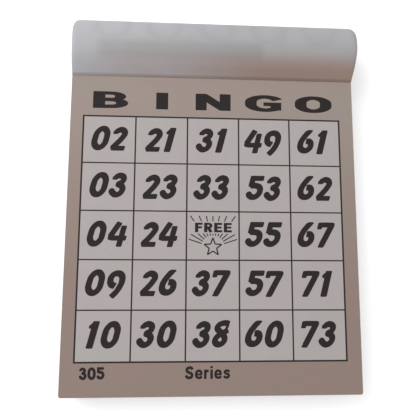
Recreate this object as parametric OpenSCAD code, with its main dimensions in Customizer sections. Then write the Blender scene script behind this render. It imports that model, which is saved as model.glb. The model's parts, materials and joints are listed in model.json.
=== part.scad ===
// Pad of tear-off bingo cards, lying on a table with its cover turned back over the head edge and under the pad.
// Millimetres. X runs across the card, Y towards the head edge and Z up.
// The origin is on the table, straight below the middle of the head edge.

/* [Cards] */
// Width of a card
card_w = 110; // [60:1:200]
// Length of a card, from its foot to the glued head edge
card_l = 120; // [100:1:200]
// Thickness of one card
card_t = 0.1; // [0.06:0.01:0.2]
// Air between two cards in a pad that has been handled
card_air = 0.015; // [0.005:0.005:0.03]
// Number of cards in the pad
card_count = 100; // [40:10:120]
// Number of cards at the top that tear off one by one
single_count = 10; // [2:1:12]
// Number of cards in each block under them
block_count = 10; // [5:1:20]

/* [Backing board] */
// Thickness of the chipboard
board_t = 0.8; // [0.5:0.1:2]

/* [Head glue] */
// Thickness of the glue film on the head edge
glue_t = 0.4; // [0.2:0.1:1]

/* [Cover] */
// Thickness of the cover's paper
cover_t = 0.12; // [0.08:0.01:0.2]
// Angle at which the turned-back cover rises from the head edge
cover_rise = 42; // [25:1:55]
// Number of bend lines in the turned-back cover
bend_count = 12; // [8:1:16]
// Width of the slit along each bend line
bend_slit = 0.1; // [0.08:0.01:0.2]
// Distance by which the turned-back cover leans to the right
cover_lean = 0.8; // [0:0.1:2]
// Number of bend lines over which it leans
lean_bends = 2; // [1:1:4]

/* [Clearances] */
// Between the top card and the closed cover
cover_clear = 0.05; // [0.02:0.01:0.2]
// Between the backing board and the cover tucked under it
tuck_clear = 0.05; // [0.02:0.01:0.2]

/* [Hidden] */
// Heights of the pieces, from the cover's tail on the table up to the fold at the head edge
board_z = cover_t + tuck_clear;
board_top = board_z + board_t;
card_pitch = card_t + card_air;
pad_top = board_top + card_count * card_pitch;
glue_top = pad_top + cover_clear;
fold_z = glue_top + cover_t / 2;

// The turned-back cover bends by the same angle at every bend line, until its tail lies flat under the pad.
// The bend lines are closest half way round, where a bent sheet is most curved.
tail_angle = -180;
bend_angle = (cover_rise - tail_angle) / bend_count;
function bend_share(i) = i == 0 ? 0 : acos(1 - (2 * i - 1) / bend_count) / 180;
function rise_share(i) = (bend_share(i + 1) - bend_share(i)) * sin(cover_rise - i * bend_angle);
function sum_of(list, i = 0) = i < len(list) ? list[i] + sum_of(list, i + 1) : 0;

// The loop is as long as the way down from the fold to the table needs
fall = fold_z - cover_t / 2;
loop_l = -fall / sum_of([for (i = [0 : bend_count - 1]) rise_share(i)]);
function bend_at(i) = loop_l * bend_share(i);
function lean_at(s) = cover_lean * min(1, s / bend_at(lean_bends));

// Names of the pieces that repeat
block_total = ceil((card_count - single_count) / block_count);
function two_digits(n) = str(n < 10 ? "0" : "", n);
function block_first(b) = single_count + (b - 1) * block_count + 1;
function block_last(b) = min(card_count, single_count + b * block_count);
function card_name(k) = str("card_", two_digits(k));
function block_name(b) = str("cards_", block_first(b), "_", block_last(b));
function strip_name(i) = i < bend_count ? str("cover_strip_", two_digits(i + 1)) : "cover_tail";

// A sheet of the card's size, with its head edge on Y = 0
module sheet(z, thickness) {
    translate([-card_w / 2, -card_l, z])
        cube([card_w, card_l, thickness]);
}

// Chipboard under the cards
module backing_board() {
    color("tan")
        sheet(board_z, board_t);
}

// Film of padding glue along the head edge, which holds the board, the cards and the cover's fold
module head_glue() {
    color("ivory")
        translate([-card_w / 2, 0, board_z])
            cube([card_w, glue_t, glue_top - board_z]);
}

// One printed card, counted from the top of the pad
module card(k) {
    color("rosybrown")
        sheet(pad_top - (k - 1) * card_pitch - card_t, card_t);
}

// A block of cards that stay on the pad
module card_block(b) {
    for (k = [block_first(b) : block_last(b)])
        card(k);
}

// Moves a shape that is drawn on the flat cover to where the turned-back cover is past bend line i
module past_bend(i) {
    if (i == 0)
        translate([0, 0, fold_z])
            rotate([cover_rise, 0, 0])
                children();
    else
        past_bend(i - 1)
            translate([0, bend_at(i), 0])
                rotate([-bend_angle, 0, 0])
                    translate([0, -bend_at(i), 0])
                        children();
}

// The flat strip of the cover between bend line i and the next one, or the tail past the last bend line
module cover_strip(i) {
    from = bend_at(i) + bend_slit / 2;
    to = i < bend_count ? bend_at(i + 1) - bend_slit / 2 : card_l;
    color("whitesmoke")
        past_bend(i)
            translate([0, 0, -cover_t / 2])
                linear_extrude(cover_t)
                    polygon([
                        [lean_at(from) - card_w / 2, from],
                        [lean_at(from) + card_w / 2, from],
                        [lean_at(to) + card_w / 2, to],
                        [lean_at(to) - card_w / 2, to]
                    ]);
}

backing_board();
head_glue();
for (k = [1 : single_count])
    card(k);
for (b = [1 : block_total])
    card_block(b);
for (i = [0 : bend_count])
    cover_strip(i);
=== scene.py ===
"""Looks of a pad of tear-off bingo cards, lying on a pale table with its cover turned back under it.

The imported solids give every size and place. Lengths are millimetres unless a name says otherwise, and each
piece is scaled to metres when it is handed over.
"""
import json
import math
import random

import bmesh
import bpy
from mathutils import Euler, Matrix, Vector, noise

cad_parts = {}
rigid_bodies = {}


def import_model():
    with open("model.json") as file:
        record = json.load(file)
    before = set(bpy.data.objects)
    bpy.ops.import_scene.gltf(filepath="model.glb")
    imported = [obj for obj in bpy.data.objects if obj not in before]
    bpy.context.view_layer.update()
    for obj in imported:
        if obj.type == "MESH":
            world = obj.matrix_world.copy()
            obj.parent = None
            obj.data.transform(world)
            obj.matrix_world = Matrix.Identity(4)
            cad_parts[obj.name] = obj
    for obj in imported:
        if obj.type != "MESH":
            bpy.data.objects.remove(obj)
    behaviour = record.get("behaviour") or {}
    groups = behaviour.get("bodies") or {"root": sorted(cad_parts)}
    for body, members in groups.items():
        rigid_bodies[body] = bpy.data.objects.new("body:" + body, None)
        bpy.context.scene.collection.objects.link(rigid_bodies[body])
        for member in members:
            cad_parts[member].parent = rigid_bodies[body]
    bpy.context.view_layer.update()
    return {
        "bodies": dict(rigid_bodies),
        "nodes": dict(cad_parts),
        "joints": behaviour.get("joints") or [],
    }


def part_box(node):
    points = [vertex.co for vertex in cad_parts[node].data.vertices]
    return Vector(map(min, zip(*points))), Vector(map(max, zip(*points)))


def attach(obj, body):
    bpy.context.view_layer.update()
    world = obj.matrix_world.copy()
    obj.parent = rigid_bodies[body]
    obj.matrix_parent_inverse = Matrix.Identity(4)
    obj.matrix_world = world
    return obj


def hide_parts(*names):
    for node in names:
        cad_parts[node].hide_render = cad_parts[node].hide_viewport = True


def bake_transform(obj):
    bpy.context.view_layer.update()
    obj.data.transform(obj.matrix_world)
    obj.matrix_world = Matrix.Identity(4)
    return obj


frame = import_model()

MM = 0.001
TO_METRES = Matrix.Scale(MM, 4)

# Sizes of the solids
card_low, card_high = (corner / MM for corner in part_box("card_01"))
card_w = card_high.x - card_low.x
card_l = card_high.y - card_low.y
card_t = card_high.z - card_low.z
card_pitch = card_high.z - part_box("card_02")[1].z / MM
board_low, board_high = (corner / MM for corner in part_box("backing_board"))
glue_low, glue_high = (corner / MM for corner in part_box("head_glue"))
tail_low, tail_high = (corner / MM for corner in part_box("cover_tail"))
cover_t = tail_high.z - tail_low.z
cover_lean = tail_high.x - card_w / 2

# The cover's bend lines, from the fold at the head edge to the one before the tail
cover_joints = [joint for joint in frame["joints"] if joint["name"].startswith("cover_")]
bend_points = [Vector(joint["pos_m"]) / MM for joint in cover_joints]
strip_bodies = [joint["child"] for joint in cover_joints]
bend_at = [0.0]
for near, far in zip(bend_points, bend_points[1:]):
    bend_at.append(bend_at[-1] + (far - near).length)
loop_l = bend_at[-1]
tail_end = bend_points[-1] + Vector((0, loop_l - card_l, 0))

# The cover leans to the right over its first bend lines
LEAN_BENDS = 2
lean_end = bend_at[LEAN_BENDS]

# Grid of a card, measured from the middle of the head edge
CELLS = 5
FREE_CELL = (2, 2)
COLUMN_PITCH = 19.85
ROW_PITCH = 18.29
GRID_LEFT = -49.93
GRID_TOP = -16.37
GRID_W = CELLS * COLUMN_PITCH
GRID_H = CELLS * ROW_PITCH
GRID_MIDDLE = Vector((GRID_LEFT + GRID_W / 2, GRID_TOP - GRID_H / 2, 0))
UPRIGHT_LINE = 0.78
LEVEL_LINE = 0.7
FRAME_LINE = 0.72

# Ink lies a hair above its card, and each layer of ink a hair above the one before
INK_LIFT = 0.003
LAYER_LIFT = 0.0006
MOTIF_LAYERS = 8

# Numerals stand upright in the table of strokes and lean on the card
NUMERAL_H = 9.75
NUMBER_LEAN = math.tan(math.radians(14.5))
NUMBER_BASE = 4.75
NUMBER_ADVANCE = 6.9
ONE_ADVANCE = 5.3
NUMBER_MIDDLES = (9.0, 8.4, 8.3, 8.1, 8.4)
NUMERAL_ROUNDING = 0.45

# Column letters are block letters drawn wide
CAP_H = 7.0
LETTER_ROUNDING = 0.1
LETTER_GAP = 0.8
HEAD_CAP = 6.75
HEAD_BASE = -13.15
HEAD_STRETCH = 3.2

# Words in the free space and at the foot
FREE_MIDDLE = -0.1
FREE_CAP = 3.6
FREE_BASE = -60.8
FREE_STRETCH = 1.42
FOOT_BASE = -113.9
FOOT_NUMBER_X = -48.2
FOOT_NUMBER_H = 4.4
FOOT_WORD_CAP = 4.4
FOOT_WORD_MIDDLE = -2.1
FIRST_CARD_NUMBER = 305

# Star and rays of the free space
STAR_MIDDLE = Vector((-0.3, -66.4, 0))
STAR_TIPS = 5
STAR_TIP = 3.5
STAR_NOTCH = 1.45
STAR_LINE = 0.5
RAY_LINE = 0.4
RAY_START = 4.4
RAY_REACH = 9.6
RAY_TOP = 11.8
WORD_ROOM = 0.5

# Angles of the rays in degrees, below the word and above it
LOW_RAYS = range(18, 163, 12)
TOP_RAYS = range(54, 127, 12)

# Cards are counted from the top of the pad
TOP_CARD = 1

# Numbers of the top card, column by column, with the free space left out
TOP_CARD_NUMBERS = (
    (2, 3, 4, 9, 10),
    (21, 23, 24, 26, 30),
    (31, 33, None, 37, 38),
    (49, 53, 55, 57, 60),
    (61, 62, 67, 71, 73),
)
COLUMN_RANGE = 15

# Numbers of the top card that were set off their places: how far aside, how far up and how far apart
TOP_CARD_NUDGES = {
    3: (0.1, 0.2, 0.2), 4: (0.05, 0.0, 0.7), 9: (-0.2, 0.3, 0.1), 10: (-0.25, 0.0, 0.3),
    21: (0.15, -0.2, 0.1), 23: (0.2, -0.2, -0.2), 26: (0.35, 0.25, 0.5), 30: (-0.25, 0.1, 0.5),
    31: (0.1, -0.1, 0.2), 33: (0.0, -0.2, 0.0), 37: (-0.3, 0.2, 0.0),
    49: (-0.1, -0.1, 0.1), 53: (0.4, -0.4, 0.0), 60: (0.0, 0.0, 0.2),
    62: (0.35, -0.1, -0.3), 67: (0.05, 0.15, -0.1), 71: (-0.15, 0.05, 0.3), 73: (-0.1, -0.1, 0.2),
}
NO_NUDGE = (0, 0, 0)

# Print on the cover, measured from the fold
BAR_MIDDLE = (-13.5, 10.5)
BAR_SIZE = (63, 6.4)
RING_AT = 20.5
RING_PITCH = 20
RING_R = 6.0
RING_LINE = 2.2
RING_TINT = 0.55
FIELD_AT = 72
FIELD_SIDE = 82
SQUARE_PITCH = 16.4
SQUARE_SIDE = 14.8
SQUARE_LINE = 0.8
PRINT_BLUR = 0.05
GHOST_BLUR = 1.5
GHOST_STRENGTH = 0.14

# Handling and workmanship
LEAF_CORNER = 0.8
LEAF_OFFSET = 0.12
LEAF_SEED = 1000
BOARD_CRUSH = 0.2
GLUE_DIP = 0.1
GLUE_WAVE = 0.08
GLUE_GAP = 0.012
BEAD_W = 0.22
BEAD_H = 0.03
ROLL_DROOP = 0.9
ROLL_DROOP_W = 2.6
ROLL_DROOP_POWER = 3
COVER_COLUMNS = 44
COVER_STEPS = 16

# Waves that the brush left in the glue film, in radians for each millimetre
WAVE_ALONG = 0.37
WAVE_UP = 0.9
WAVE_SLANT = 0.11

# Ripples of the glue bead and its drops, as shares of its width
RIPPLE_SHARE = 0.5
DROP_SHARE = 3.0

# A drop hangs where the noise along a row, stretched to this spacing, is above a level
DROP_SPACING = 2.5
DROP_ROW = 9
DROP_LEVEL = 0.35

# Cuts in the long edges of the glue film and the bead
LONG_EDGE = 1
GLUE_CUTS_ALONG = 60
GLUE_CUTS_UP = 7
BEAD_CUTS = 240

# Painted shade on the tint: where its darkening from head to foot starts, and where it is full
TINT_SHADE_STARTS = -10
TINT_SHADE_FULL = -80

# Painted shade and reflected light on the cover's bare side: each grows from its first to its last distance
# from the fold, and from left to right
COVER_PAINTED_SHADE = (
    # painted shade, deeper towards the right and the fold, which leaves the roll's left end lighter
    ("#F0F0F0", (60.0, 40.0), (-54.0, 10.0)),
    # faint warm and pink painted shade near the fold, fading out towards the left end
    ("#FCFAF6", (18.0, 12.0), (-48.0, -28.0)),
    ("#FEF5F5", (12.0, 7.0), (-52.0, -36.0)),
    # painted warm shade and light reflected from the tinted cards, near the fold at the right
    ("#F3DDCD", (12.5, 3.5), (-18.0, 20.0)),
    # painted crease shadow along the fold
    ("#E2DDDC", (1.4, 0.5), (-60.0, -55.0)),
)

# Table, sky, window lamp and camera, whose turn is in degrees
FLOOR_SIDE = 6000
FLOOR_GAP = 0.02
FLOOR_GLOW = 0.38
SKY_LEVEL = 0.6
WINDOW_LEVEL = 0.4
WINDOW_SIDE = 450
WINDOW_PLACE = (-360, 230, 540)
WINDOW_AIM = (0, -60, 12)
SENSOR_W = 36.0
FOCAL_LENGTH = 40.71
NEAREST_VIEW = 1
CAMERA_PLACE = Vector((-11.998, -77.016, 190.378))
CAMERA_TURN = (7.874, -3.422, 0.159)

# Pen strokes of each numeral: nib, kind of stroke and the points that the pen passes, over the baseline.
# Straight strokes and curves end flat, round ones in half a circle. A ring is closed, a dot is one point.
NUMERALS = {
    "0": [(2.3, "ring", [(3.15, 8.6), (1.75, 7.6), (1.25, 5.0), (1.85, 2.15),
                         (3.6, 1.12), (5.05, 2.1), (5.5, 4.8), (4.85, 7.6)])],
    "1": [(2.5, "straight", [(2.55, 0.0), (2.55, 9.7)]),
          (1.5, "round", [(1.05, 7.7), (2.2, 8.9)])],
    "2": [(2.0, "straight", [(1.55, 6.5), (1.55, 8.0)]),
          (2.3, "round", [(2.0, 7.75), (3.3, 8.3), (5.0, 7.0), (4.6, 5.3), (3.35, 3.2), (2.1, 1.5)]),
          (1.95, "straight", [(1.4, 0.98), (6.55, 0.98)])],
    "3": [(2.0, "straight", [(1.5, 6.8), (1.5, 8.3)]),
          (2.25, "round", [(2.0, 8.1), (3.05, 8.5), (4.75, 7.4), (4.3, 5.8), (3.4, 5.3)]),
          (2.25, "round", [(3.4, 5.0), (4.5, 4.6), (5.4, 2.85), (3.9, 1.1), (2.0, 1.9), (1.5, 2.5)])],
    "4": [(2.3, "straight", [(3.2, 9.2), (0.95, 3.7)]),
          (1.95, "straight", [(1.4, 3.25), (7.1, 3.25)]),
          (2.2, "dot", [(1.25, 3.5)]),
          (2.15, "straight", [(5.1, 7.95), (5.1, 0.0)])],
    "5": [(2.05, "straight", [(0.6, 8.75), (6.0, 8.75)]),
          (2.2, "straight", [(1.7, 9.7), (1.7, 5.4)]),
          (2.3, "round", [(2.3, 5.85), (3.4, 5.85), (5.0, 5.2), (5.5, 3.7),
                          (4.9, 2.1), (3.5, 1.4), (2.0, 1.9), (1.5, 2.5)])],
    "6": [(2.35, "curve", [(3.3, 8.95), (2.4, 7.6), (1.4, 5.6), (1.1, 4.0), (1.6, 2.2),
                           (3.15, 1.35), (4.7, 1.9), (5.25, 3.5), (4.3, 5.1), (3.0, 5.0)]),
          (1.2, "straight", [(3.2, 7.75), (4.2, 9.25)]),
          (0.95, "straight", [(2.5, 9.27), (4.85, 9.27)])],
    "7": [(1.9, "straight", [(0.75, 6.95), (0.75, 9.6)]),
          (1.95, "straight", [(0.4, 8.7), (5.2, 8.7)]),
          (2.0, "dot", [(5.35, 8.65)]),
          (2.4, "straight", [(5.3, 8.8), (2.8, 0.65)]),
          (1.0, "straight", [(1.6, 0.5), (3.9, 0.5)])],
    "8": [(2.15, "curve", [(5.6, 8.55), (3.4, 8.85), (1.45, 7.45), (2.6, 5.9), (4.4, 4.5),
                           (5.2, 2.75), (4.6, 1.6), (3.5, 1.2), (2.9, 1.25)]),
          (2.2, "curve", [(4.0, 1.25), (3.5, 1.2), (2.4, 1.6), (1.75, 2.75),
                          (2.8, 4.6), (4.6, 5.7), (5.7, 6.4)]),
          (1.0, "straight", [(4.75, 6.4), (5.3, 8.5)])],
    "9": [(2.3, "curve", [(3.5, -0.4), (4.8, 1.3), (5.7, 3.5), (5.95, 5.8), (5.2, 7.6),
                          (3.5, 8.25), (2.0, 7.5), (1.65, 5.9), (2.4, 4.2), (4.0, 3.6)])],
}

# The same for block letters
LETTERS = {
    "B": [(1.5, "straight", [(0.78, 0.0), (0.78, 7.0)]),
          (1.37, "curve", [(0.7, 6.31), (2.0, 6.31), (2.9, 6.1), (3.42, 4.97),
                           (2.9, 3.85), (2.0, 3.63), (0.7, 3.63)]),
          (1.5, "curve", [(0.7, 3.63), (2.0, 3.63), (3.1, 3.35), (3.63, 2.2),
                          (3.1, 1.05), (2.0, 0.78), (0.7, 0.78)])],
    "I": [(1.5, "straight", [(0.75, 0.0), (0.75, 7.0)])],
    "N": [(1.4, "straight", [(0.7, 0.0), (0.7, 7.0)]),
          (1.4, "straight", [(3.75, 0.0), (3.75, 7.0)]),
          (1.6, "straight", [(0.75, 6.5), (3.7, 0.5)])],
    "G": [(1.5, "curve", [(4.25, 5.0), (3.6, 5.9), (2.4, 6.28), (1.2, 5.47), (0.78, 3.5),
                          (1.2, 1.53), (2.4, 0.72), (3.5, 0.95), (4.1, 1.6)]),
          (1.55, "straight", [(2.4, 3.2), (4.7, 3.2)]),
          (1.4, "straight", [(4.0, 0.65), (4.0, 3.2)])],
    "O": [(1.53, "ring", [(2.4, 6.29), (1.2, 5.55), (0.77, 3.5), (1.2, 1.45),
                          (2.4, 0.71), (3.6, 1.45), (4.03, 3.5), (3.6, 5.55)])],
    "F": [(1.7, "straight", [(0.85, 0.0), (0.85, 7.0)]),
          (1.6, "straight", [(0.7, 6.2), (3.9, 6.2)]),
          (1.5, "straight", [(0.7, 3.6), (3.6, 3.6)])],
    "R": [(1.7, "straight", [(0.85, 0.0), (0.85, 7.0)]),
          (1.55, "curve", [(0.7, 6.22), (2.2, 6.22), (3.1, 5.97), (3.5, 4.9),
                           (3.1, 3.75), (2.2, 3.5), (0.7, 3.5)]),
          (1.75, "straight", [(2.2, 3.4), (3.6, 0.0)])],
    "E": [(1.7, "straight", [(0.85, 0.0), (0.85, 7.0)]),
          (1.6, "straight", [(0.7, 6.2), (4.1, 6.2)]),
          (1.45, "straight", [(0.7, 3.55), (3.9, 3.55)]),
          (1.6, "straight", [(0.7, 0.8), (4.2, 0.8)])],
    "S": [(1.6, "curve", [(4.2, 5.2), (3.6, 6.1), (2.3, 6.3), (0.95, 5.4), (1.4, 4.1), (2.6, 3.5),
                          (3.8, 2.7), (3.7, 1.3), (2.3, 0.7), (1.0, 1.1), (0.5, 2.1)])],
    "e": [(1.45, "curve", [(3.9, 1.5), (3.2, 0.8), (2.1, 0.65), (0.95, 1.3), (0.75, 2.6),
                           (1.1, 4.0), (2.2, 4.55), (3.4, 4.0), (3.6, 2.7)]),
          (1.1, "straight", [(0.9, 2.5), (4.2, 2.5)])],
    "r": [(1.5, "straight", [(0.75, 0.0), (0.75, 5.2)]),
          (1.45, "curve", [(0.8, 3.0), (1.45, 4.3), (2.75, 4.5)])],
    "i": [(1.5, "straight", [(0.75, 0.0), (0.75, 5.2)]),
          (1.5, "straight", [(0.75, 5.9), (0.75, 7.1)])],
    "s": [(1.4, "curve", [(3.5, 3.8), (2.8, 4.45), (1.8, 4.5), (0.9, 3.85), (1.3, 3.1), (2.3, 2.7),
                          (3.2, 2.1), (2.9, 1.0), (1.9, 0.7), (0.9, 1.0), (0.4, 1.6)])],
}
CURVE_STEPS = 5
DOT_SIDES = 14


# Colours and nodes

def linear(hex_colour):
    """The linear colour of an sRGB hex value."""
    channels = [int(hex_colour[i:i + 2], 16) / 255 for i in (1, 3, 5)]
    return [c / 12.92 if c <= 0.04045 else ((c + 0.055) / 1.055) ** 2.4 for c in channels] + [1.0]


def add_node(tree, kind, inputs=None, **settings):
    """Adds a node. An input is a value, or the socket that feeds it."""
    made = tree.nodes.new(kind)
    for name, value in settings.items():
        setattr(made, name, value)
    for name, value in (inputs or {}).items():
        if isinstance(value, bpy.types.NodeSocket):
            tree.links.new(value, made.inputs[name])
        else:
            made.inputs[name].default_value = value
    return made


def new_material(name):
    """An empty material with its shader: the tree, the shader node and the material itself."""
    material = bpy.data.materials.new(name)
    material.use_nodes = True
    tree = material.node_tree
    return tree, tree.nodes["Principled BSDF"], material


def per_metre(size_mm):
    """Texture scale at which one feature of a pattern is this size."""
    return 1 / (size_mm * MM)


def soft_band(tree, value, half, blur):
    """1 where a value is within this far of 0 and 0 beyond, with this much blur at the edge."""
    reach = add_node(tree, "ShaderNodeMath", {0: value}, operation="ABSOLUTE")
    return add_node(tree, "ShaderNodeMapRange", {"Value": reach.outputs[0], "From Min": half - blur,
                                                 "From Max": half + blur, "To Min": 1.0,
                                                 "To Max": 0.0}).outputs[0]


def soft_box(tree, place, middle, size, blur):
    """1 within a rectangle round a point and 0 outside it, with this much blur on its edges."""
    shifted = add_node(tree, "ShaderNodeVectorMath", {0: place, 1: (*middle, 0)}, operation="SUBTRACT")
    split = add_node(tree, "ShaderNodeSeparateXYZ", {0: shifted.outputs[0]})
    across = soft_band(tree, split.outputs[0], size[0] / 2, blur)
    along = soft_band(tree, split.outputs[1], size[1] / 2, blur)
    return add_node(tree, "ShaderNodeMath", {0: across, 1: along}, operation="MULTIPLY").outputs[0]


# Materials

def tinted_card_paper():
    """Thin uncoated book paper with a flat beige tint printed round its bare cells, and painted shade on the
    tint towards the foot: dull, a little cloudy.
    """
    tree, shader, material = new_material("tinted_uncoated_paper")
    place = add_node(tree, "ShaderNodeTexCoord")
    cells = soft_box(tree, place.outputs["Object"], GRID_MIDDLE.xy * MM, (GRID_W * MM, GRID_H * MM),
                     PRINT_BLUR * MM)
    facing = add_node(tree, "ShaderNodeSeparateXYZ", {0: place.outputs["Normal"]})
    printed_side = add_node(tree, "ShaderNodeMath", {0: facing.outputs[2], 1: 0.5}, operation="GREATER_THAN")
    tint_part = add_node(tree, "ShaderNodeMath", {0: 1.0, 1: cells}, operation="SUBTRACT")
    tinted = add_node(tree, "ShaderNodeMath", {0: tint_part.outputs[0], 1: printed_side.outputs[0]},
                      operation="MULTIPLY")
    # Clouds of a sheet's formation, and fibres drawn coarser than the real 0.02 mm so that they show
    clouds = add_node(tree, "ShaderNodeTexNoise", {"Vector": place.outputs["Object"], "Scale": per_metre(7)})
    fibres = add_node(tree, "ShaderNodeTexNoise", {"Vector": place.outputs["Object"],
                                                   "Scale": per_metre(0.6), "Detail": 4.0})
    bare = add_node(tree, "ShaderNodeMix", {"Factor": clouds.outputs["Fac"], 6: linear("#B1ABAA"),
                                            7: linear("#B7B0B1")}, data_type="RGBA")
    # Painted shade: the tint is made darker towards the foot
    split = add_node(tree, "ShaderNodeSeparateXYZ", {0: place.outputs["Object"]})
    foot = add_node(tree, "ShaderNodeMapRange", {"Value": split.outputs[1], "From Min": TINT_SHADE_STARTS * MM,
                                                 "From Max": TINT_SHADE_FULL * MM})
    tint = add_node(tree, "ShaderNodeMix", {"Factor": foot.outputs[0], 6: linear("#A1948D"),
                                            7: linear("#97857E")}, data_type="RGBA")
    sheet = add_node(tree, "ShaderNodeMix", {"Factor": tinted.outputs[0], 6: bare.outputs[2],
                                             7: tint.outputs[2]}, data_type="RGBA")
    # Patches as wide as a thumb, a little pinker or greener, where damp hands aged the paper
    patches = add_node(tree, "ShaderNodeTexNoise", {"Vector": place.outputs["Object"],
                                                    "Scale": per_metre(18), "Detail": 1.0})
    spread = add_node(tree, "ShaderNodeMapRange", {"Value": patches.outputs["Fac"], "From Min": 0.38,
                                                   "From Max": 0.62})
    hue = add_node(tree, "ShaderNodeMix", {"Factor": spread.outputs[0], 6: linear("#FFFCFC"),
                                           7: linear("#FCFEFB")}, data_type="RGBA")
    aged = add_node(tree, "ShaderNodeMix", {"Factor": 1.0, 6: sheet.outputs[2], 7: hue.outputs[2]},
                    data_type="RGBA", blend_type="MULTIPLY")
    speck = add_node(tree, "ShaderNodeMapRange", {"Value": fibres.outputs["Fac"], "From Min": 0.3,
                                                  "From Max": 0.7, "To Min": 0.97, "To Max": 1.03})
    colour = add_node(tree, "ShaderNodeVectorMath", {0: aged.outputs[2], "Scale": speck.outputs[0]},
                      operation="SCALE")
    bump = add_node(tree, "ShaderNodeBump", {"Height": fibres.outputs["Fac"], "Strength": 0.15,
                                             "Distance": 0.05 * MM})
    tree.links.new(colour.outputs[0], shader.inputs["Base Color"])
    tree.links.new(bump.outputs[0], shader.inputs["Normal"])
    shader.inputs["Roughness"].default_value = 0.9
    shader.inputs["Specular IOR Level"].default_value = 0.2
    return material


def offset_ink():
    """Black offset ink soaked into uncoated paper: dark grey, dull, a little broken by the fibres."""
    tree, shader, material = new_material("black_offset_ink")
    place = add_node(tree, "ShaderNodeTexCoord")
    fibres = add_node(tree, "ShaderNodeTexNoise", {"Vector": place.outputs["Object"],
                                                   "Scale": per_metre(0.5), "Detail": 3.0})
    cover = add_node(tree, "ShaderNodeMapRange", {"Value": fibres.outputs["Fac"], "From Min": 0.35,
                                                  "From Max": 0.75})
    colour = add_node(tree, "ShaderNodeMix", {"Factor": cover.outputs[0], 6: linear("#252020"),
                                              7: linear("#352F2E")}, data_type="RGBA")
    tree.links.new(colour.outputs[2], shader.inputs["Base Color"])
    shader.inputs["Roughness"].default_value = 0.75
    shader.inputs["Specular IOR Level"].default_value = 0.15
    return material


def cover_print(tree, blur):
    """Where the cover's outside is printed: a bar, a row of rings and squares, with this much blur."""
    place = add_node(tree, "ShaderNodeUVMap", uv_map="sheet").outputs[0]
    split = add_node(tree, "ShaderNodeSeparateXYZ", {0: place})
    bar = soft_box(tree, place, BAR_MIDDLE, BAR_SIZE, blur)
    ring_x = add_node(tree, "ShaderNodeMath", {0: split.outputs[0], 1: RING_PITCH / 2, 2: -RING_PITCH / 2},
                      operation="WRAP")
    from_ring = add_node(tree, "ShaderNodeCombineXYZ", {0: ring_x.outputs[0], 1: split.outputs[1]})
    distance = add_node(tree, "ShaderNodeVectorMath", {0: from_ring.outputs[0], 1: (0, RING_AT, 0)},
                        operation="DISTANCE")
    off_line = add_node(tree, "ShaderNodeMath", {0: distance.outputs["Value"], 1: RING_R},
                        operation="SUBTRACT")
    ring = soft_band(tree, off_line.outputs[0], RING_LINE / 2, blur)
    rings = add_node(tree, "ShaderNodeMath", {0: ring, 1: RING_TINT}, operation="MULTIPLY")
    field = soft_box(tree, place, (0, FIELD_AT), (FIELD_SIDE, FIELD_SIDE), blur)
    square_x = add_node(tree, "ShaderNodeMath", {0: split.outputs[0], 1: SQUARE_PITCH / 2,
                                                 2: -SQUARE_PITCH / 2}, operation="WRAP")
    square_y = add_node(tree, "ShaderNodeMath", {0: split.outputs[1], 1: FIELD_AT + SQUARE_PITCH / 2,
                                                 2: FIELD_AT - SQUARE_PITCH / 2}, operation="WRAP")
    in_square = add_node(tree, "ShaderNodeCombineXYZ", {0: square_x.outputs[0], 1: square_y.outputs[0]})
    inner_side = SQUARE_SIDE - 2 * SQUARE_LINE
    outer = soft_box(tree, in_square.outputs[0], (0, FIELD_AT), (SQUARE_SIDE, SQUARE_SIDE), blur)
    inner = soft_box(tree, in_square.outputs[0], (0, FIELD_AT), (inner_side, inner_side), blur)
    outline = add_node(tree, "ShaderNodeMath", {0: outer, 1: inner}, operation="SUBTRACT")
    squares = add_node(tree, "ShaderNodeMath", {0: outline.outputs[0], 1: field}, operation="MULTIPLY")
    marks = add_node(tree, "ShaderNodeMath", {0: bar, 1: rings.outputs[0]}, operation="MAXIMUM")
    return add_node(tree, "ShaderNodeMath", {0: marks.outputs[0], 1: squares.outputs[0]},
                    operation="MAXIMUM").outputs[0]


def cover_base(tree, shader):
    """White offset paper: its cloudy colour, and the fine tooth that keeps it dull."""
    place = add_node(tree, "ShaderNodeTexCoord").outputs["Object"]
    clouds = add_node(tree, "ShaderNodeTexNoise", {"Vector": place, "Scale": per_metre(6)})
    fibres = add_node(tree, "ShaderNodeTexNoise", {"Vector": place, "Scale": per_metre(0.7), "Detail": 4.0})
    bump = add_node(tree, "ShaderNodeBump", {"Height": fibres.outputs["Fac"], "Strength": 0.1,
                                             "Distance": 0.05 * MM})
    tree.links.new(bump.outputs[0], shader.inputs["Normal"])
    shader.inputs["Roughness"].default_value = 0.75
    shader.inputs["Specular IOR Level"].default_value = 0.3
    return add_node(tree, "ShaderNodeMix", {"Factor": clouds.outputs["Fac"], 6: linear("#B4B4B8"),
                                            7: linear("#BBBABE")}, data_type="RGBA").outputs[2]


def cover_outside():
    """Printed side of the cover: slate blue ink on white offset paper."""
    tree, shader, material = new_material("printed_white_offset_paper")
    colour = add_node(tree, "ShaderNodeMix", {"Factor": cover_print(tree, PRINT_BLUR),
                                              6: cover_base(tree, shader), 7: linear("#4A4E58")},
                      data_type="RGBA")
    tree.links.new(colour.outputs[2], shader.inputs["Base Color"])
    return material


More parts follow.
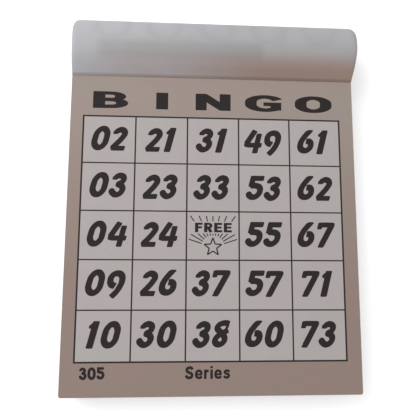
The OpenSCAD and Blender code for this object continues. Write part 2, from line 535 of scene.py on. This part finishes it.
def cover_inside():
    """Bare side of the cover: its print shows through, and painted shade and reflected light darken it
    towards the fold and the right.
    """
    tree, shader, material = new_material("bare_white_offset_paper")
    ghost = add_node(tree, "ShaderNodeMath", {0: cover_print(tree, GHOST_BLUR), 1: GHOST_STRENGTH},
                     operation="MULTIPLY")
    printed = add_node(tree, "ShaderNodeMix", {"Factor": ghost.outputs[0], 6: cover_base(tree, shader),
                                               7: linear("#4A4E48")}, data_type="RGBA")
    place = add_node(tree, "ShaderNodeUVMap", uv_map="sheet")
    split = add_node(tree, "ShaderNodeSeparateXYZ", {0: place.outputs[0]})
    colour = printed.outputs[2]
    # Each mark of painted shade or reflected light darkens the paper in its own corner of the sheet
    for shade_colour, (far, near), (left, right) in COVER_PAINTED_SHADE:
        near_fold = add_node(tree, "ShaderNodeMapRange", {"Value": split.outputs[1], "From Min": far,
                                                          "From Max": near}, interpolation_type="SMOOTHSTEP")
        to_right = add_node(tree, "ShaderNodeMapRange", {"Value": split.outputs[0], "From Min": left,
                                                         "From Max": right})
        shaded = add_node(tree, "ShaderNodeMath", {0: near_fold.outputs[0], 1: to_right.outputs[0]},
                           operation="MULTIPLY")
        colour = add_node(tree, "ShaderNodeMix", {"Factor": shaded.outputs[0], 6: colour, 7: linear(shade_colour)},
                          data_type="RGBA", blend_type="MULTIPLY").outputs[2]
    tree.links.new(colour, shader.inputs["Base Color"])
    return material


def grey_chipboard():
    """Chipboard pressed from waste paper: grey brown, rough, with dark fibre flecks."""
    tree, shader, material = new_material("grey_chipboard")
    place = add_node(tree, "ShaderNodeTexCoord")
    pulp = add_node(tree, "ShaderNodeTexNoise", {"Vector": place.outputs["Object"], "Scale": per_metre(3),
                                                 "Detail": 5.0})
    base = add_node(tree, "ShaderNodeMix", {"Factor": pulp.outputs["Fac"], 6: linear("#7F756A"),
                                            7: linear("#978C80")}, data_type="RGBA")
    # Flecks are fibres about 1.5 mm long, stretched along the board
    long_way = add_node(tree, "ShaderNodeMapping", {"Vector": place.outputs["Object"],
                                                    "Scale": (1.0, 0.3, 1.0)})
    flecks = add_node(tree, "ShaderNodeTexNoise", {"Vector": long_way.outputs[0], "Scale": per_metre(0.8),
                                                   "Detail": 2.0})
    dark = add_node(tree, "ShaderNodeMapRange", {"Value": flecks.outputs["Fac"], "From Min": 0.62,
                                                 "From Max": 0.72})
    colour = add_node(tree, "ShaderNodeMix", {"Factor": dark.outputs[0], 6: base.outputs[2],
                                              7: linear("#5A5149")}, data_type="RGBA")
    bump = add_node(tree, "ShaderNodeBump", {"Height": flecks.outputs["Fac"], "Strength": 0.4,
                                             "Distance": 0.1 * MM})
    tree.links.new(colour.outputs[2], shader.inputs["Base Color"])
    tree.links.new(bump.outputs[0], shader.inputs["Normal"])
    shader.inputs["Roughness"].default_value = 0.95
    shader.inputs["Specular IOR Level"].default_value = 0.15
    return material


def padding_glue(name, thin, thick):
    """Brushed-on padding glue, dried to a rubbery film: smooth, faintly glossy, streaked along the edge."""
    tree, shader, material = new_material(name)
    place = add_node(tree, "ShaderNodeTexCoord")
    along = add_node(tree, "ShaderNodeMapping", {"Vector": place.outputs["Object"],
                                                 "Scale": (0.08, 1.0, 1.0)})
    streaks = add_node(tree, "ShaderNodeTexNoise", {"Vector": along.outputs[0], "Scale": per_metre(0.9),
                                                    "Detail": 3.0})
    colour = add_node(tree, "ShaderNodeMix", {"Factor": streaks.outputs["Fac"], 6: linear(thin),
                                              7: linear(thick)}, data_type="RGBA")
    bump = add_node(tree, "ShaderNodeBump", {"Height": streaks.outputs["Fac"], "Strength": 0.5,
                                             "Distance": 0.15 * MM})
    tree.links.new(colour.outputs[2], shader.inputs["Base Color"])
    tree.links.new(bump.outputs[0], shader.inputs["Normal"])
    shader.inputs["Roughness"].default_value = 0.35
    shader.inputs["IOR"].default_value = 1.47
    return material


# Shared shaping steps

def finish_piece(bm, name, materials, body=None, nodes=()):
    """Turns a shape in millimetres into a piece in metres at the origin, which rides on a body."""
    bm.transform(TO_METRES)
    mesh = bpy.data.meshes.new(name)
    bm.to_mesh(mesh)
    bm.free()
    for material in materials:
        mesh.materials.append(material)
    piece = bpy.data.objects.new(name, mesh)
    bpy.context.scene.collection.objects.link(piece)
    if body:
        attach(piece, body)
    if nodes:
        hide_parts(*nodes)
    return piece


def free_mesh(bm, name):
    """Turns a shape into a mesh that is used again in other shapes."""
    mesh = bpy.data.meshes.new(name)
    bm.to_mesh(mesh)
    bm.free()
    return mesh


def box_shape(low, high):
    """A closed box between two corners."""
    bm = bmesh.new()
    place = Matrix.Translation((low + high) / 2) @ Matrix.Diagonal((*(high - low), 1))
    bmesh.ops.create_cube(bm, size=1, matrix=place)
    return bm


def sharpen_rims(bm, angle=30):
    """Smooth shading everywhere but across the corners of a sheet."""
    for face in bm.faces:
        face.smooth = True
    for edge in bm.edges:
        edge.smooth = edge.calc_face_angle(math.pi) < math.radians(angle)


# Signs

def ribbon_mesh(nib, kind, points):
    """The path of a pen as a flat ribbon on Z = 0, made from a curve."""
    curve = bpy.data.curves.new("stroke", "CURVE")
    curve.dimensions = "3D"
    curve.twist_mode = "Z_UP"
    curve.resolution_u = CURVE_STEPS
    curve.extrude = nib / 2
    spline = curve.splines.new("BEZIER")
    spline.bezier_points.add(len(points) - 1)
    for knot, (x, y) in zip(spline.bezier_points, points):
        knot.co = (x, y, 0)
        knot.tilt = math.pi / 2
        knot.handle_left_type = "VECTOR" if kind == "straight" else "AUTO"
        knot.handle_right_type = knot.handle_left_type
    spline.use_cyclic_u = kind == "ring"
    holder = bpy.data.objects.new("stroke", curve)
    bpy.context.scene.collection.objects.link(holder)
    depsgraph = bpy.context.evaluated_depsgraph_get()
    mesh = bpy.data.meshes.new_from_object(holder.evaluated_get(depsgraph))
    bpy.data.objects.remove(holder)
    bpy.data.curves.remove(curve)
    return mesh


def stroke_layers(nib, kind, points, rounding):
    """Meshes of one pen stroke: its ribbon, with the corners at its ends rounded, and its round ends."""
    layers = []
    if kind != "dot":
        ribbon = ribbon_mesh(nib, kind, points)
        bm = bmesh.new()
        bm.from_mesh(ribbon)
        bpy.data.meshes.remove(ribbon)
        if kind in ("straight", "curve"):
            corners = [vert for vert in bm.verts if len(vert.link_edges) == 2]
            bmesh.ops.bevel(bm, geom=corners, offset=rounding, offset_type="OFFSET", segments=3, profile=0.5,
                            affect="VERTICES", material=-1)
        layers.append(free_mesh(bm, "ribbon"))
    if kind in ("dot", "round"):
        bm = bmesh.new()
        ends = [points[0]] if kind == "dot" else [points[0], points[-1]]
        for x, y in ends:
            bmesh.ops.create_circle(bm, cap_ends=True, segments=DOT_SIDES, radius=nib / 2,
                                    matrix=Matrix.Translation((x, y, 0)))
        layers.append(free_mesh(bm, "ends"))
    return layers


def sign_mesh(strokes, rounding, layer_count=None):
    """All strokes of a sign as one flat mesh, in layers a hair above each other."""
    bm = bmesh.new()
    layers = [layer for stroke in strokes for layer in stroke_layers(*stroke, rounding)]
    for count, layer in enumerate(layers):
        height = count % layer_count if layer_count else count
        layer.transform(Matrix.Translation((0, 0, LAYER_LIFT * height)))
        bm.from_mesh(layer)
        bpy.data.meshes.remove(layer)
    bm.normal_update()
    bmesh.ops.reverse_faces(bm, faces=[face for face in bm.faces if face.normal.z < 0])
    return free_mesh(bm, "sign")


sign_meshes = {sign: sign_mesh(strokes, NUMERAL_ROUNDING) for sign, strokes in NUMERALS.items()}
sign_meshes.update((sign, sign_mesh(strokes, LETTER_ROUNDING)) for sign, strokes in LETTERS.items())


def stamp(bm, mesh, place):
    """Adds a copy of a sign to a print."""
    before = len(bm.verts)
    bm.from_mesh(mesh)
    bm.verts.ensure_lookup_table()
    bmesh.ops.transform(bm, matrix=place, verts=bm.verts[before:])


def number_width(digits):
    """Room that a number takes along its line."""
    return sum(ONE_ADVANCE if digit == "1" else NUMBER_ADVANCE for digit in digits)


def stamp_number(bm, digits, start, base, height, lean, apart=0):
    """Sets numerals side by side from a start on the baseline, this much further apart than usual."""
    scale = height / NUMERAL_H
    slant = Matrix(((1, lean, 0, 0), (0, 1, 0, 0), (0, 0, 1, 0), (0, 0, 0, 1)))
    place = Matrix.Translation((start, base, 0)) @ Matrix.Diagonal((scale, scale, 1, 1)) @ slant
    for count, digit in enumerate(digits):
        pen = number_width(digits[:count]) + apart * count
        stamp(bm, sign_meshes[digit], place @ Matrix.Translation((pen, 0, 0)))


def sign_width(sign):
    """Width of a block letter, from its own ink."""
    return max(vert.co.x for vert in sign_meshes[sign].vertices)


def stamp_word(bm, word, middle, base, cap, stretch):
    """Sets block letters round a middle point."""
    scale = cap / CAP_H
    place = Matrix.Translation((middle, base, 0)) @ Matrix.Diagonal((scale * stretch, scale, 1, 1))
    pen = -(sum(sign_width(sign) for sign in word) + LETTER_GAP * (len(word) - 1)) / 2
    for sign in word:
        stamp(bm, sign_meshes[sign], place @ Matrix.Translation((pen, 0, 0)))
        pen += sign_width(sign) + LETTER_GAP


# Prints

def ruled_lines(columns, rows, width, height, upright_line, level_line, share):
    """Lines round the cells of a field over the grid's middle. Each cell holds this share of a line."""
    bm = bmesh.new()
    in_lines = Matrix.Diagonal((width / upright_line, height / level_line, 1, 1))
    bmesh.ops.create_grid(bm, x_segments=columns, y_segments=rows, size=0.5, matrix=in_lines)
    cells = bm.faces[:]
    bmesh.ops.inset_individual(bm, faces=cells, thickness=share)
    bmesh.ops.delete(bm, geom=cells, context="FACES")
    place = Matrix.Translation(GRID_MIDDLE) @ Matrix.Diagonal((upright_line, level_line, 1, 1))
    bmesh.ops.transform(bm, matrix=place, verts=bm.verts)
    return free_mesh(bm, "lines")


grid_lines = ruled_lines(CELLS, CELLS, GRID_W, GRID_H, UPRIGHT_LINE, LEVEL_LINE, 0.5)
frame_lines = ruled_lines(1, 1, GRID_W + FRAME_LINE, GRID_H + FRAME_LINE, FRAME_LINE, FRAME_LINE, 1.0)


def from_star(reach, degrees):
    """Point at this reach and angle from the star's middle."""
    turn = math.radians(degrees)
    point = STAR_MIDDLE + Vector((math.cos(turn), math.sin(turn), 0)) * reach
    return point.x, point.y


def free_motif_strokes():
    """A thin-lined star under the word of the free space, with rays that stop short of the word."""
    corners = [from_star(STAR_NOTCH if corner % 2 else STAR_TIP, 90 + 180 / STAR_TIPS * corner)
               for corner in range(2 * STAR_TIPS)]
    strokes = [(STAR_LINE, "straight", [near, far]) for near, far in zip(corners[-1:] + corners, corners)]
    under_word = FREE_BASE - WORD_ROOM - STAR_MIDDLE.y
    over_word = FREE_BASE + FREE_CAP + WORD_ROOM - STAR_MIDDLE.y
    for degrees in LOW_RAYS:
        end = min(RAY_REACH, under_word / math.sin(math.radians(degrees)))
        strokes.append((RAY_LINE, "straight", [from_star(RAY_START, degrees), from_star(end, degrees)]))
    for degrees in TOP_RAYS:
        steep = math.sin(math.radians(degrees))
        strokes.append((RAY_LINE, "straight", [from_star(over_word / steep, degrees),
                                               from_star(RAY_TOP / steep, degrees)]))
    return strokes


free_motif = sign_mesh(free_motif_strokes(), LETTER_ROUNDING, MOTIF_LAYERS)


def card_numbers(card):
    """Five rising numbers for each column, by the usual ranges. The top card's are listed."""
    if card == TOP_CARD:
        return TOP_CARD_NUMBERS
    draw = random.Random(card)
    columns = []
    for column in range(CELLS):
        first = column * COLUMN_RANGE + 1
        numbers = sorted(draw.sample(range(first, first + COLUMN_RANGE), CELLS))
        columns.append([None if (column, row) == FREE_CELL else n for row, n in enumerate(numbers)])
    return columns


def card_print(card, body, ink):
    """Everything printed in black on one card, as one thin piece on its face."""
    bm = bmesh.new()
    stamp(bm, grid_lines, Matrix.Identity(4))
    stamp(bm, frame_lines, Matrix.Translation((0, 0, LAYER_LIFT)))
    nudges = TOP_CARD_NUDGES if card == TOP_CARD else {}
    for column, letter in enumerate("BINGO"):
        middle = GRID_LEFT + (column + 0.5) * COLUMN_PITCH
        stamp_word(bm, letter, middle, HEAD_BASE, HEAD_CAP, HEAD_STRETCH)
    for column, numbers in enumerate(card_numbers(card)):
        for row, number in enumerate(numbers):
            if number is None:
                continue
            digits = f"{number:02d}"
            aside, up, apart = nudges.get(number, NO_NUDGE)
            middle = GRID_LEFT + column * COLUMN_PITCH + NUMBER_MIDDLES[column] + aside
            start = middle - (number_width(digits) + apart) / 2
            base = GRID_TOP - (row + 1) * ROW_PITCH + NUMBER_BASE + up
            stamp_number(bm, digits, start, base, NUMERAL_H, NUMBER_LEAN, apart)
    stamp(bm, free_motif, Matrix.Identity(4))
    stamp_word(bm, "FREE", FREE_MIDDLE, FREE_BASE, FREE_CAP, FREE_STRETCH)
    stamp_number(bm, str(FIRST_CARD_NUMBER + card - 1), FOOT_NUMBER_X, FOOT_BASE, FOOT_NUMBER_H, 0)
    stamp_word(bm, "Series", FOOT_WORD_MIDDLE, FOOT_BASE, FOOT_WORD_CAP, 1.0)
    face = card_high.z - (card - 1) * card_pitch
    bmesh.ops.translate(bm, vec=(0, 0, face + INK_LIFT), verts=bm.verts)
    finish_piece(bm, f"card_{card:02d}_print", [ink], body)


# Cards

def card_range(node):
    """First and last card of a node, counted from the top of the pad."""
    numbers = [int(part) for part in node.split("_")[1:]]
    return numbers[0], numbers[-1]


def leaf_mesh(card):
    """One leaf of paper with rounded foot corners, a little off its neighbours but flush at the head."""
    draw = random.Random(LEAF_SEED + card)
    loose = 0 if card == TOP_CARD else LEAF_OFFSET
    shift = draw.uniform(-loose, loose)
    trim = draw.uniform(-loose, loose)
    drop = Vector((0, 0, (card - 1) * card_pitch))
    bm = box_shape(card_low + Vector((shift, trim, 0)) - drop, card_high + Vector((shift, 0, 0)) - drop)
    upright = [edge for edge in bm.edges if abs(edge.verts[0].co.z - edge.verts[1].co.z) > card_t / 2]
    at_foot = [edge for edge in upright if edge.verts[0].co.y < -card_l / 2]
    bmesh.ops.bevel(bm, geom=at_foot, offset=LEAF_CORNER, offset_type="OFFSET", segments=3, profile=0.5,
                    affect="EDGES", material=-1)
    return free_mesh(bm, "leaf")


def card_leaves(node, body, paper):
    """A piece of one leaf or a block of leaves."""
    first, last = card_range(node)
    bm = bmesh.new()
    for card in range(first, last + 1):
        leaf = leaf_mesh(card)
        bm.from_mesh(leaf)
        bpy.data.meshes.remove(leaf)
    finish_piece(bm, f"{node}_paper", [paper], body, [node])


# Backing board and glue

def backing_board(board):
    """Chipboard with its cut edges a little crushed."""
    bm = box_shape(board_low, board_high)
    bmesh.ops.bevel(bm, geom=bm.edges[:], offset=BOARD_CRUSH, offset_type="OFFSET", segments=2, profile=0.5,
                    affect="EDGES", material=-1)
    finish_piece(bm, "chipboard_back", [board], "pad", ["backing_board"])


def cut_across(bm, axis, cuts):
    """Cuts a box's long edges along one axis."""
    long_edges = [edge for edge in bm.edges
                  if abs(edge.verts[0].co[axis] - edge.verts[1].co[axis]) > LONG_EDGE]
    bmesh.ops.subdivide_edges(bm, edges=long_edges, cuts=cuts, use_grid_fill=True)


def head_glue(glue):
    """The glue film, thicker where the brush left it, and clear of the closed cover."""
    bm = box_shape(glue_low, glue_high - Vector((0, 0, GLUE_GAP)))
    cut_across(bm, 0, GLUE_CUTS_ALONG)
    cut_across(bm, 2, GLUE_CUTS_UP)
    for vert in bm.verts:
        if vert.co.y > glue_high.y / 2:
            along = math.sin(vert.co.x * WAVE_ALONG)
            upwards = math.sin(vert.co.z * WAVE_UP + vert.co.x * WAVE_SLANT)
            vert.co.y -= GLUE_DIP + GLUE_WAVE * (along * upwards)
    sharpen_rims(bm)
    finish_piece(bm, "glue_film", [glue], "pad", ["head_glue"])


def head_bead(glue):
    """Lip of glue that squeezed out over the head of the top card: thin, with a few drops, dark brown partly
    from the glue and partly as painted crease shadow.
    """
    top = glue_high.z - GLUE_GAP
    bm = box_shape(Vector((card_low.x, -BEAD_W, top - BEAD_H)), Vector((card_high.x, glue_low.y, top)))
    cut_across(bm, 0, BEAD_CUTS)
    for vert in bm.verts:
        if vert.co.y < -BEAD_W / 2:
            ripple = noise.noise(Vector((vert.co.x, 0, 0)))
            drop = max(0.0, noise.noise(Vector((vert.co.x / DROP_SPACING, DROP_ROW, 0))) - DROP_LEVEL)
            vert.co.y -= BEAD_W * (RIPPLE_SHARE * ripple + DROP_SHARE * drop)
    finish_piece(bm, "glue_bead", [glue], "pad")


# Cover

def bezier(share, start, turn, end):
    """Point on a quadratic curve."""
    return start * (1 - share) ** 2 + turn * (2 * share * (1 - share)) + end * share ** 2


def straight(near, far):
    """A straight stretch, in the form that a bent one has."""
    return near, (near + far) / 2, far


def cover_middle(strip):
    """Half way along a strip of the cover: its place, and its distance from the fold."""
    if strip == len(bend_points) - 1:
        past_bend = (bend_at[-1] - bend_at[-2]) / 2
        return bend_points[-1] + Vector((0, -past_bend, 0)), bend_at[-1] + past_bend
    return (bend_points[strip] + bend_points[strip + 1]) / 2, (bend_at[strip] + bend_at[strip + 1]) / 2


def roll_droop(across, along):
    """How far the roll's free ends have sunk in, at a place on the sheet."""
    from_end = card_w / 2 - abs(across)
    end_share = max(0.0, 1 - from_end / ROLL_DROOP_W)
    return ROLL_DROOP * end_share ** ROLL_DROOP_POWER * math.sin(math.pi * min(1, along / loop_l))


def across_sheet(share):
    """Place across the sheet of a column of points, which lie closer towards its rounded ends."""
    return card_w / 2 * math.sin(math.pi * share)


def cover_sheet(name, places, distances, papers):
    """A stretch of the cover, bent in one smooth arc from its first place to its last."""
    bm = bmesh.new()
    bmesh.ops.create_grid(bm, x_segments=COVER_COLUMNS, y_segments=COVER_STEPS, size=0.5)
    raised = bmesh.ops.extrude_face_region(bm, geom=bm.faces[:], use_keep_orig=True)
    lifted = [part for part in raised["geom"] if isinstance(part, bmesh.types.BMVert)]
    bmesh.ops.translate(bm, vec=(0, 0, 1), verts=lifted)
    bmesh.ops.recalc_face_normals(bm, faces=bm.faces)
    unrolled = bm.loops.layers.uv.new("sheet")
    for face in bm.faces:
        face.material_index = 1 if face.normal.z < -0.5 else 0
        for loop in face.loops:
            flat = loop.vert.co
            loop[unrolled].uv = (across_sheet(flat.x), bezier(flat.y + 0.5, *distances))
    start, turn, end = places
    for vert in bm.verts:
        share = vert.co.y + 0.5
        across = across_sheet(vert.co.x)
        along = bezier(share, *distances)
        lean = cover_lean * min(1, along / lean_end)
        heading = ((turn - start) * (1 - share) + (end - turn) * share).normalized()
        bare_side = Vector((1, 0, 0)).cross(heading)
        lift = cover_t * (vert.co.z - 0.5) - roll_droop(across, along)
        vert.co = bezier(share, *places) + Vector((across + lean, 0, 0)) + bare_side * lift
    sharpen_rims(bm)
    return finish_piece(bm, name, papers)


def cover(papers):
    """The turned-back cover: a stretch bent round each bend line, which stays where it is made, and a
    straight one at each end that rides on its strip.
    """
    place, distance = cover_middle(0)
    root = cover_sheet("cover_root", straight(bend_points[0], place), straight(0.0, distance), papers)
    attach(root, strip_bodies[0])
    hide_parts(strip_bodies[0])
    for bend in range(1, len(bend_points)):
        next_place, next_distance = cover_middle(bend)
        stretch = cover_sheet(f"cover_bend_sheet_{bend:02d}", (place, bend_points[bend], next_place),
                              (distance, bend_at[bend], next_distance), papers)
        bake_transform(stretch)
        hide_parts(strip_bodies[bend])
        place, distance = next_place, next_distance
    tail = cover_sheet("cover_tail_sheet", straight(place, tail_end), straight(distance, card_l), papers)
    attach(tail, strip_bodies[-1])


# Stage, light and camera

def picture_rays(tree):
    """1 for rays that make the picture itself: straight from the camera, or by way of gloss or glass."""
    path = add_node(tree, "ShaderNodeLightPath")
    bounced = add_node(tree, "ShaderNodeMath", {0: path.outputs["Is Glossy Ray"],
                                                1: path.outputs["Is Transmission Ray"]}, operation="MAXIMUM")
    return add_node(tree, "ShaderNodeMath", {0: path.outputs["Is Camera Ray"], 1: bounced.outputs[0]},
                    operation="MAXIMUM").outputs[0]


def floor():
    """A white table top that keeps the soft shadow and looks white to the camera."""
    tree, shader, material = new_material("white_table")
    glow = add_node(tree, "ShaderNodeMath", {0: picture_rays(tree), 1: FLOOR_GLOW}, operation="MULTIPLY")
    tree.links.new(glow.outputs[0], shader.inputs["Emission Strength"])
    shader.inputs["Emission Color"].default_value = linear("#FFFFFF")
    shader.inputs["Base Color"].default_value = linear("#F4F4F4")
    shader.inputs["Roughness"].default_value = 1.0
    shader.inputs["Specular IOR Level"].default_value = 0.0
    bm = bmesh.new()
    bmesh.ops.create_grid(bm, x_segments=1, y_segments=1, size=FLOOR_SIDE / 2)
    bmesh.ops.translate(bm, vec=(0, 0, -FLOOR_GAP), verts=bm.verts)
    bm.transform(TO_METRES)
    mesh = free_mesh(bm, "table_top")
    mesh.materials.append(material)
    piece = bpy.data.objects.new("table_top", mesh)
    bpy.context.scene.collection.objects.link(piece)


def sky():
    """Even light from all round, which the camera sees as white."""
    world = bpy.data.worlds.new("studio")
    world.use_nodes = True
    tree = world.node_tree
    level = add_node(tree, "ShaderNodeMapRange", {"Value": picture_rays(tree), "To Min": SKY_LEVEL,
                                                  "To Max": 1.0})
    tree.nodes["Background"].inputs["Color"].default_value = linear("#FFFFFF")
    tree.links.new(level.outputs[0], tree.nodes["Background"].inputs["Strength"])
    bpy.context.scene.world = world


def soft_lamp(name, place, aim, size, level):
    """A square lamp, given by the light that it throws on a level card, where 1 shows a colour as it is."""
    reach = (Vector(aim) - Vector(place)) * MM
    lamp = bpy.data.lights.new(name, "AREA")
    lamp.size = size * MM
    slope = -reach.normalized().z
    lamp.energy = level * math.pi * math.pi * reach.length_squared / slope
    holder = bpy.data.objects.new(name, lamp)
    holder.location = Vector(place) * MM
    holder.rotation_euler = reach.to_track_quat("-Z", "Y").to_euler()
    bpy.context.scene.collection.objects.link(holder)


def camera():
    """Almost straight above the pad, as in the photograph."""
    lens = bpy.data.cameras.new("camera")
    lens.sensor_width = SENSOR_W
    lens.lens = FOCAL_LENGTH
    lens.clip_start = NEAREST_VIEW * MM
    holder = bpy.data.objects.new("camera", lens)
    holder.location = CAMERA_PLACE * MM
    holder.rotation_euler = Euler([math.radians(angle) for angle in CAMERA_TURN])
    bpy.context.scene.collection.objects.link(holder)
    bpy.context.scene.camera = holder


paper = tinted_card_paper()
ink = offset_ink()
card_nodes = sorted((name for name in frame["nodes"] if name.startswith("card")), key=card_range)
for node in card_nodes:
    first, last = card_range(node)
    card_leaves(node, node if first == last else "pad", paper)
    if first == last:
        card_print(first, node, ink)
# The first card of the blocks shows when the single cards are gone
first_fixed = min(card_range(node)[0] for node in card_nodes if node not in frame["bodies"])
card_print(first_fixed, "pad", ink)
backing_board(grey_chipboard())
head_glue(padding_glue("dried_padding_glue", "#B5AFA2", "#CFCABF"))
# The bead's dark brown is partly dried glue and partly painted crease shadow along the fold
head_bead(padding_glue("dark_glue_and_crease_shade", "#7C6C61", "#94857A"))
cover([cover_inside(), cover_outside()])
floor()
sky()
soft_lamp("window", WINDOW_PLACE, WINDOW_AIM, WINDOW_SIDE, WINDOW_LEVEL)
camera()
bpy.context.scene.view_settings.view_transform = "Standard"
